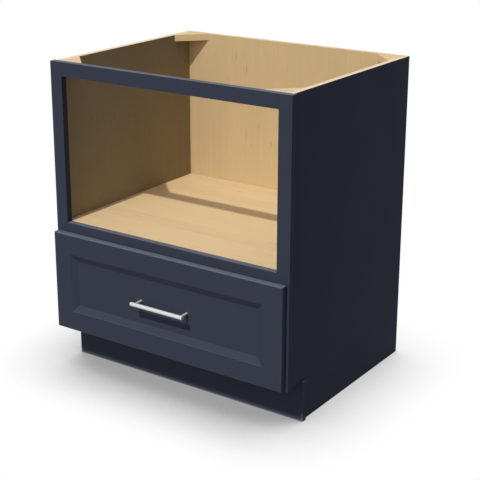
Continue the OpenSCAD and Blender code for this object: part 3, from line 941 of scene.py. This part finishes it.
# %% Handle posts
for node in ("handle_left_post", "handle_right_post"):
    post = copy_of(node, "saddled")
    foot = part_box(node)[1].y
    count = ease(post, SMALL_EASE, lambda edge: middle(edge).y > foot - AT_END, segments=3)
    finish_surface(post)
    stands_for(post, node, nickel_finish)
    print(post.name, "eased edges:", count)

# %% [markdown]
# ## Screws
#
# Thirty screws hold the slides, the drawer front and the handle. They are the same few kinds, so
# each kind is modelled once at the origin: head, cross recess and a real helical thread. A copy
# then goes to every place where the CAD model has one.

# %% Where a node's separate solids are


def solids_of(node):
    """The box of each separate solid of a node, from a merged copy that is thrown away."""
    only(copy_of(node, "measured"))
    bpy.ops.mesh.separate(type="LOOSE")
    boxes = []
    for part in list(bpy.context.selected_objects):
        points = [vert.co for vert in part.data.vertices]
        low = Vector([min(point[axis] for point in points) for axis in range(3)])
        high = Vector([max(point[axis] for point in points) for axis in range(3)])
        boxes.append((low, high))
        bpy.data.objects.remove(part)
    return sorted(boxes, key=lambda box: tuple(round(x, 5) for x in box[0]))


# %% Set a copy of a pattern at every place


def set_copies(pattern, places, name):
    """One piece made of a copy of the pattern at each place, with its Z axis turned as it says."""
    copies = []
    for seat, direction in places:
        only(pattern)
        bpy.ops.object.duplicate()
        piece = bpy.context.object
        piece.rotation_euler = direction.to_track_quat("Z", "Y").to_euler()
        piece.location = seat
        copies.append(piece)
    only(*copies)
    bpy.ops.object.transform_apply(location=True, rotation=True, scale=True)
    bpy.ops.object.join()
    joined = bpy.context.object
    joined.name = joined.data.name = name
    bpy.data.objects.remove(pattern)
    return joined


# %% Cut a cross recess into a head
SLOT_REACH, SLOT_WIDTH, SLOT_DEPTH = 0.55, 0.13, 1.1 * MM
SLOT_TAPER = 0.62


def carve(piece, cutter):
    """Cuts one piece's shape out of another, and removes the cutter."""
    boolean = piece.modifiers.new("carve", "BOOLEAN")
    boolean.operation = "DIFFERENCE"
    boolean.solver = "EXACT"
    boolean.object = cutter
    only(piece)
    bpy.ops.object.modifier_apply(modifier=boolean.name)
    bpy.data.objects.remove(cutter)


def narrow(share):
    """Shrinks what is selected toward its own middle, across Z."""
    bpy.ops.transform.resize(value=(share, share, 1))


def cut_cross(head, radius):
    """Cuts two tapered slots into a head of this radius, whose top is at z = 0."""
    reach, width = radius * SLOT_REACH, radius * SLOT_WIDTH
    for x, y in ((reach, width), (width, reach)):
        blade = saw_board("blade", Vector((-x, -y, -SLOT_DEPTH)), Vector((x, y, SLOT_DEPTH)))
        with editing(blade, "FACE"):
            pick(blade, "faces", faces_down)
            narrow(SLOT_TAPER)
        carve(head, blade)


# %% Wind a thread
THREAD_PITCH = 1.6 * MM
THREAD_RISE = 0.35 * MM
THREAD_STEPS = 14


def helical_thread(radius, top, bottom):
    """A thin ridge that winds round the shank from bottom to top."""
    bpy.ops.object.select_all(action="DESELECT")
    upright = (math.pi / 2, math.pi / 2, 0)
    place = (radius, 0, bottom)
    bpy.ops.mesh.primitive_circle_add(
        vertices=3, radius=THREAD_RISE, fill_type="NOTHING", location=place, rotation=upright
    )
    thread = bpy.context.object
    bpy.ops.object.transform_apply(location=True, rotation=True, scale=True)
    winding = thread.modifiers.new("winding", "SCREW")
    winding.axis = "Z"
    winding.screw_offset = THREAD_PITCH
    winding.iterations = max(2, int((top - bottom) / THREAD_PITCH))
    winding.steps = winding.render_steps = THREAD_STEPS
    bpy.ops.object.modifier_apply(modifier=winding.name)
    with editing(thread):
        bpy.ops.mesh.select_non_manifold()
        bpy.ops.mesh.fill_holes(sides=0)
        bpy.ops.mesh.select_all(action="SELECT")
        bpy.ops.mesh.normals_make_consistent(inside=False)
    return thread


# %% Model one screw, head up at the origin and point down -Z
SHANK_RADIUS = 2 * MM
CORE_RADIUS = SHANK_RADIUS * 0.8
THREAD_FOOT = SHANK_RADIUS * 0.78
TIP_LENGTH = 2.5 * SHANK_RADIUS
TIP_SHARE = 0.1
PLAIN_NECK = 1 * MM
DOMED_HEAD, FLAT_HEAD = 2.4 * MM, 2 * MM
DOME_SHARE = 0.62


def screw_head(name, radius, height, domed):
    """A round or countersunk head with a cross recess."""
    head = turned(name, Vector((0, 0, -height)), Vector((0, 0, 0)), radius, vertices=24)
    if domed:
        ease(head, height * DOME_SHARE, lambda edge: middle(edge).z > -AT_END, segments=4)
    else:
        with editing(head, "FACE"):
            pick(head, "faces", faces_down)
            narrow(SHANK_RADIUS / radius)
    cut_cross(head, radius)
    return head


def model_screw(head_radius, head_height, length, domed):
    """A screw with its head's top at z = 0 and its point at z = -length."""
    head = screw_head("pattern_screw", head_radius, head_height, domed)
    shank_top, shank_end = Vector((0, 0, -head_height)), Vector((0, 0, TIP_LENGTH - length))
    shank = turned("shank", shank_end, shank_top, CORE_RADIUS, vertices=14)
    with editing(shank, "FACE"):
        pick(shank, "faces", faces_down)
        extrude(-TIP_LENGTH)
        narrow(TIP_SHARE)
    thread = helical_thread(THREAD_FOOT, shank_top.z - PLAIN_NECK, shank_end.z)
    only(shank, thread, head)
    bpy.ops.object.join()
    finish_surface(head)
    return head


# %% Set a screw at every place
SCREWS = {
    "spacer_screws": ("toward the middle", False),
    "cabinet_member_screws": ("toward the middle", False),
    "drawer_member_screws": ("away from the middle", True),
    "front_fixing_screws": ("to the back", True),
    "handle_screws": ("to the back", True),
}


def head_looks(rule, low, high):
    """The direction in which a screw's head looks."""
    outward = math.copysign(1, (low + high).x)
    if rule == "to the back":
        return Vector((0, 1, 0))
    return Vector((outward if rule == "away from the middle" else -outward, 0, 0))


for node, (rule, domed) in SCREWS.items():
    boxes = solids_of(node)
    size = boxes[0][1] - boxes[0][0]
    length = size.y if rule == "to the back" else size.x
    head_height = DOMED_HEAD if domed else FLAT_HEAD
    pattern = model_screw(size.z / 2, head_height, length, domed)
    looks = [head_looks(rule, low, high) for low, high in boxes]
    seats = [(low + high) / 2 + look * length / 2 for (low, high), look in zip(boxes, looks)]
    piece = set_copies(pattern, zip(seats, looks), f"{node}_threaded")
    stands_for(piece, node, screw_finish)
    print(piece.name, "screws:", len(boxes))

# %% [markdown]
# ## Slides and bumpers
#
# A slide's channels are rolled from strip, so their corners are round. A copy of each channel gets
# a quarter-millimetre rounding along its length. The balls, their cages and the hidden dowels keep
# their CAD shape and only get a finish. Four rubber bumpers keep the front off the frame. One
# short plug with a domed face is modelled, and copied to each place.

# %% Slide channels
for side in ("left", "right"):
    for kind in ("cabinet", "intermediate", "drawer"):
        node = f"{side}_{kind}_member"
        stands_for(eased_copy(node, "rolled", STEEL_EASE), node, zinc_finish)

# %% Nodes that keep their CAD shape
kept_nodes = {"frame_dowels": veneer("dowel_birch", "X", 61, BIRCH)}
for side in ("left", "right"):
    for row in ("outer", "inner"):
        kept_nodes[f"{side}_{row}_ball_cage"] = cage_finish
        kept_nodes[f"{side}_{row}_balls"] = ball_finish
for node, finish in kept_nodes.items():
    nodes[node].data.materials.clear()
    nodes[node].data.materials.append(finish)
print("nodes that keep their CAD shape:", len(kept_nodes))

# %% Bumpers
BUMPER_DOME = 1.2 * MM
boxes = solids_of("front_bumpers")
size = boxes[0][1] - boxes[0][0]
plug = turned("pattern_plug", Vector((0, 0, -size.y)), Vector((0, 0, 0)), size.x / 2)
ease(plug, BUMPER_DOME, lambda edge: middle(edge).z > -AT_END, segments=5)
finish_surface(plug)
seats = [Vector(((low.x + high.x) / 2, high.y, (low.z + high.z) / 2)) for low, high in boxes]
piece = set_copies(plug, [(seat, Vector((0, 1, 0))) for seat in seats], "front_bumpers_domed")
stands_for(piece, "front_bumpers", rubber_finish)
print("bumpers:", len(boxes), "each", round(size.y / MM, 2), "mm long")

# %% [markdown]
# ## Sky, floor and sun
#
# The cabinet stands in a bright studio: a sun from the front and above, a dim sky, and a white
# floor with one soft shade round the cabinet's foot. The white could come from a stronger light,
# but that would bleach the wood. So the sky and the floor are plain white only for the camera, for
# reflections and for glass, and send a gentler light to surfaces. The floor's shade comes from
# ambient occlusion, which darkens each point by how much of the object is close over it. It looks
# a little to the right and to the back from each point, so the shade is deeper at the front left.

# %% Sky: dim for surfaces, white for the camera and for reflections
SKY_HORIZON = 0.05
SKY_RISE = 0.9
SKY_POWER = 3
WHITE = (1, 1, 1, 1)
COOL_WHITE = (0.92, 0.98, 1.12, 1)


class SkyFinish(Finish):
    """The world's node tree, made with the same methods."""

    def __init__(self, world):
        world.use_nodes = True
        self.tree = world.node_tree
        self.tree.nodes.clear()


def seen_directly(finish):
    """1 for what the camera, a mirror or glass sees, and 0 for light that falls on a surface."""
    path = finish.node("LightPath", out="Is Camera Ray")
    mirrored = path.math("MAXIMUM", path.output("Is Glossy Ray"))
    return mirrored.math("MAXIMUM", path.output("Is Transmission Ray"))


world = bpy.data.worlds.new("studio_sky")
bpy.context.scene.world = world
sky = SkyFinish(world)
height = sky.parts(sky.node("TexCoord", out="Generated")).output("Z")
glow = SKY_HORIZON + height.math("MAXIMUM", 0).math("POWER", SKY_POWER) * SKY_RISE
seen = seen_directly(sky)
strength = seen + (1 - seen) * glow
tint = sky.mix(seen, COOL_WHITE, WHITE)
background = sky.node("Background", None, {"Color": tint, "Strength": strength})
world_end = sky.tree.nodes.new("ShaderNodeOutputWorld")
sky.tree.links.new(background.socket, world_end.inputs["Surface"])
print("sky:", SKY_HORIZON, "at the horizon and", SKY_HORIZON + SKY_RISE, "overhead")

# %% Floor: white with the object's shade, and a gentler light for surfaces
FLOOR_SIZE = 60.0
FLOOR_LIGHT = 0.33
SHADE_REACH = 0.25
SHADE_SAMPLES = 12
SHADE_START, SHADE_CURVE = 0.7, 0.46
DEEPEST_SHADE = 0.66
SHADE_BLEND = 0.12
SHADE_LEAN = (0.1, 0.16, 0)


def closed_in(finish, reach):
    """0 in the open, up to 1 where the object is within reach, most of all toward SHADE_LEAN."""
    upright = finish.node("TexCoord", out="Normal")
    leaning = finish.node("VectorMath", {"operation": "ADD"}, {0: upright, 1: SHADE_LEAN})
    facing = finish.node("VectorMath", {"operation": "NORMALIZE"}, {0: leaning})
    sockets = {"Distance": reach, "Normal": facing}
    return 1 - finish.node("AmbientOcclusion", {"samples": SHADE_SAMPLES}, sockets, out="AO")


bpy.ops.object.select_all(action="DESELECT")
bpy.ops.mesh.primitive_plane_add(size=FLOOR_SIZE, location=(0, 0, 0))
floor = bpy.context.object
floor.name = "floor"
floor_finish = Finish("pale_floor")
closed = closed_in(floor_finish, SHADE_REACH)
shade = closed * (SHADE_START + closed * SHADE_CURVE)
shade = shade.math("SMOOTH_MIN", DEEPEST_SHADE, SHADE_BLEND)
seen = seen_directly(floor_finish)
strength = seen * (1 - shade) + (1 - seen) * FLOOR_LIGHT
tint = floor_finish.mix(seen, COOL_WHITE, WHITE)
glow = floor_finish.node("Emission", None, {"Color": tint, "Strength": strength})
floor.data.materials.append(floor_finish.end(glow))
print("floor light on surfaces:", FLOOR_LIGHT)

# %% Sun, and a weak soft lamp low in front
SUN_TRAVEL = Vector((0, 0.637, -0.771))
FILL_TRAVEL = Vector((0, 0.94, -0.34))


def distant_lamp(name, level, travel, width):
    """A lamp far away; level is what it adds to a white surface that faces it."""
    data = bpy.data.lights.new(name, "SUN")
    data.energy = level * math.pi
    data.angle = math.radians(width)
    lamp = bpy.data.objects.new(name, data)
    bpy.context.scene.collection.objects.link(lamp)
    lamp.rotation_euler = travel.to_track_quat("-Z", "Y").to_euler()
    print(name, "stands", round(math.degrees(math.asin(-travel.normalized().z))), "degrees high")


distant_lamp("sun", level=0.84, travel=SUN_TRAVEL, width=1.2)
distant_lamp("front_fill", level=0.22, travel=FILL_TRAVEL, width=36)

# %% [markdown]
# ## Camera
#
# The camera's place, turn and lens came from fitting the straight edges of the photograph together
# with the cabinet's real size. It stands about three metres off, to the right of the front and a
# little above the top.

# %% Camera
IMAGE_SIDE = 480
FOCAL_PIXELS = 1191.54
PRINCIPAL_POINT = (229.49, 213.20)
AZIMUTH = math.radians(34.920)
ELEVATION = math.radians(17.911)
CAMERA_PLACE = Vector((1.81346, frame_face - 2.30713, 1.46587))
camera_data = bpy.data.cameras.new("camera")
camera_data.sensor_width = 36
camera_data.lens = FOCAL_PIXELS / IMAGE_SIDE * camera_data.sensor_width
camera_data.shift_x = (IMAGE_SIDE / 2 - PRINCIPAL_POINT[0]) / IMAGE_SIDE
camera_data.shift_y = (PRINCIPAL_POINT[1] - IMAGE_SIDE / 2) / IMAGE_SIDE
camera = bpy.data.objects.new("camera", camera_data)
bpy.context.scene.collection.objects.link(camera)
camera.location = CAMERA_PLACE
look = Vector((
    -math.sin(AZIMUTH) * math.cos(ELEVATION),
    math.cos(AZIMUTH) * math.cos(ELEVATION),
    -math.sin(ELEVATION),
))
camera.rotation_euler = look.to_track_quat("-Z", "Y").to_euler()
bpy.context.scene.camera = camera
bpy.context.scene.view_settings.view_transform = "Standard"
print("lens:", round(camera_data.lens, 1), "mm")
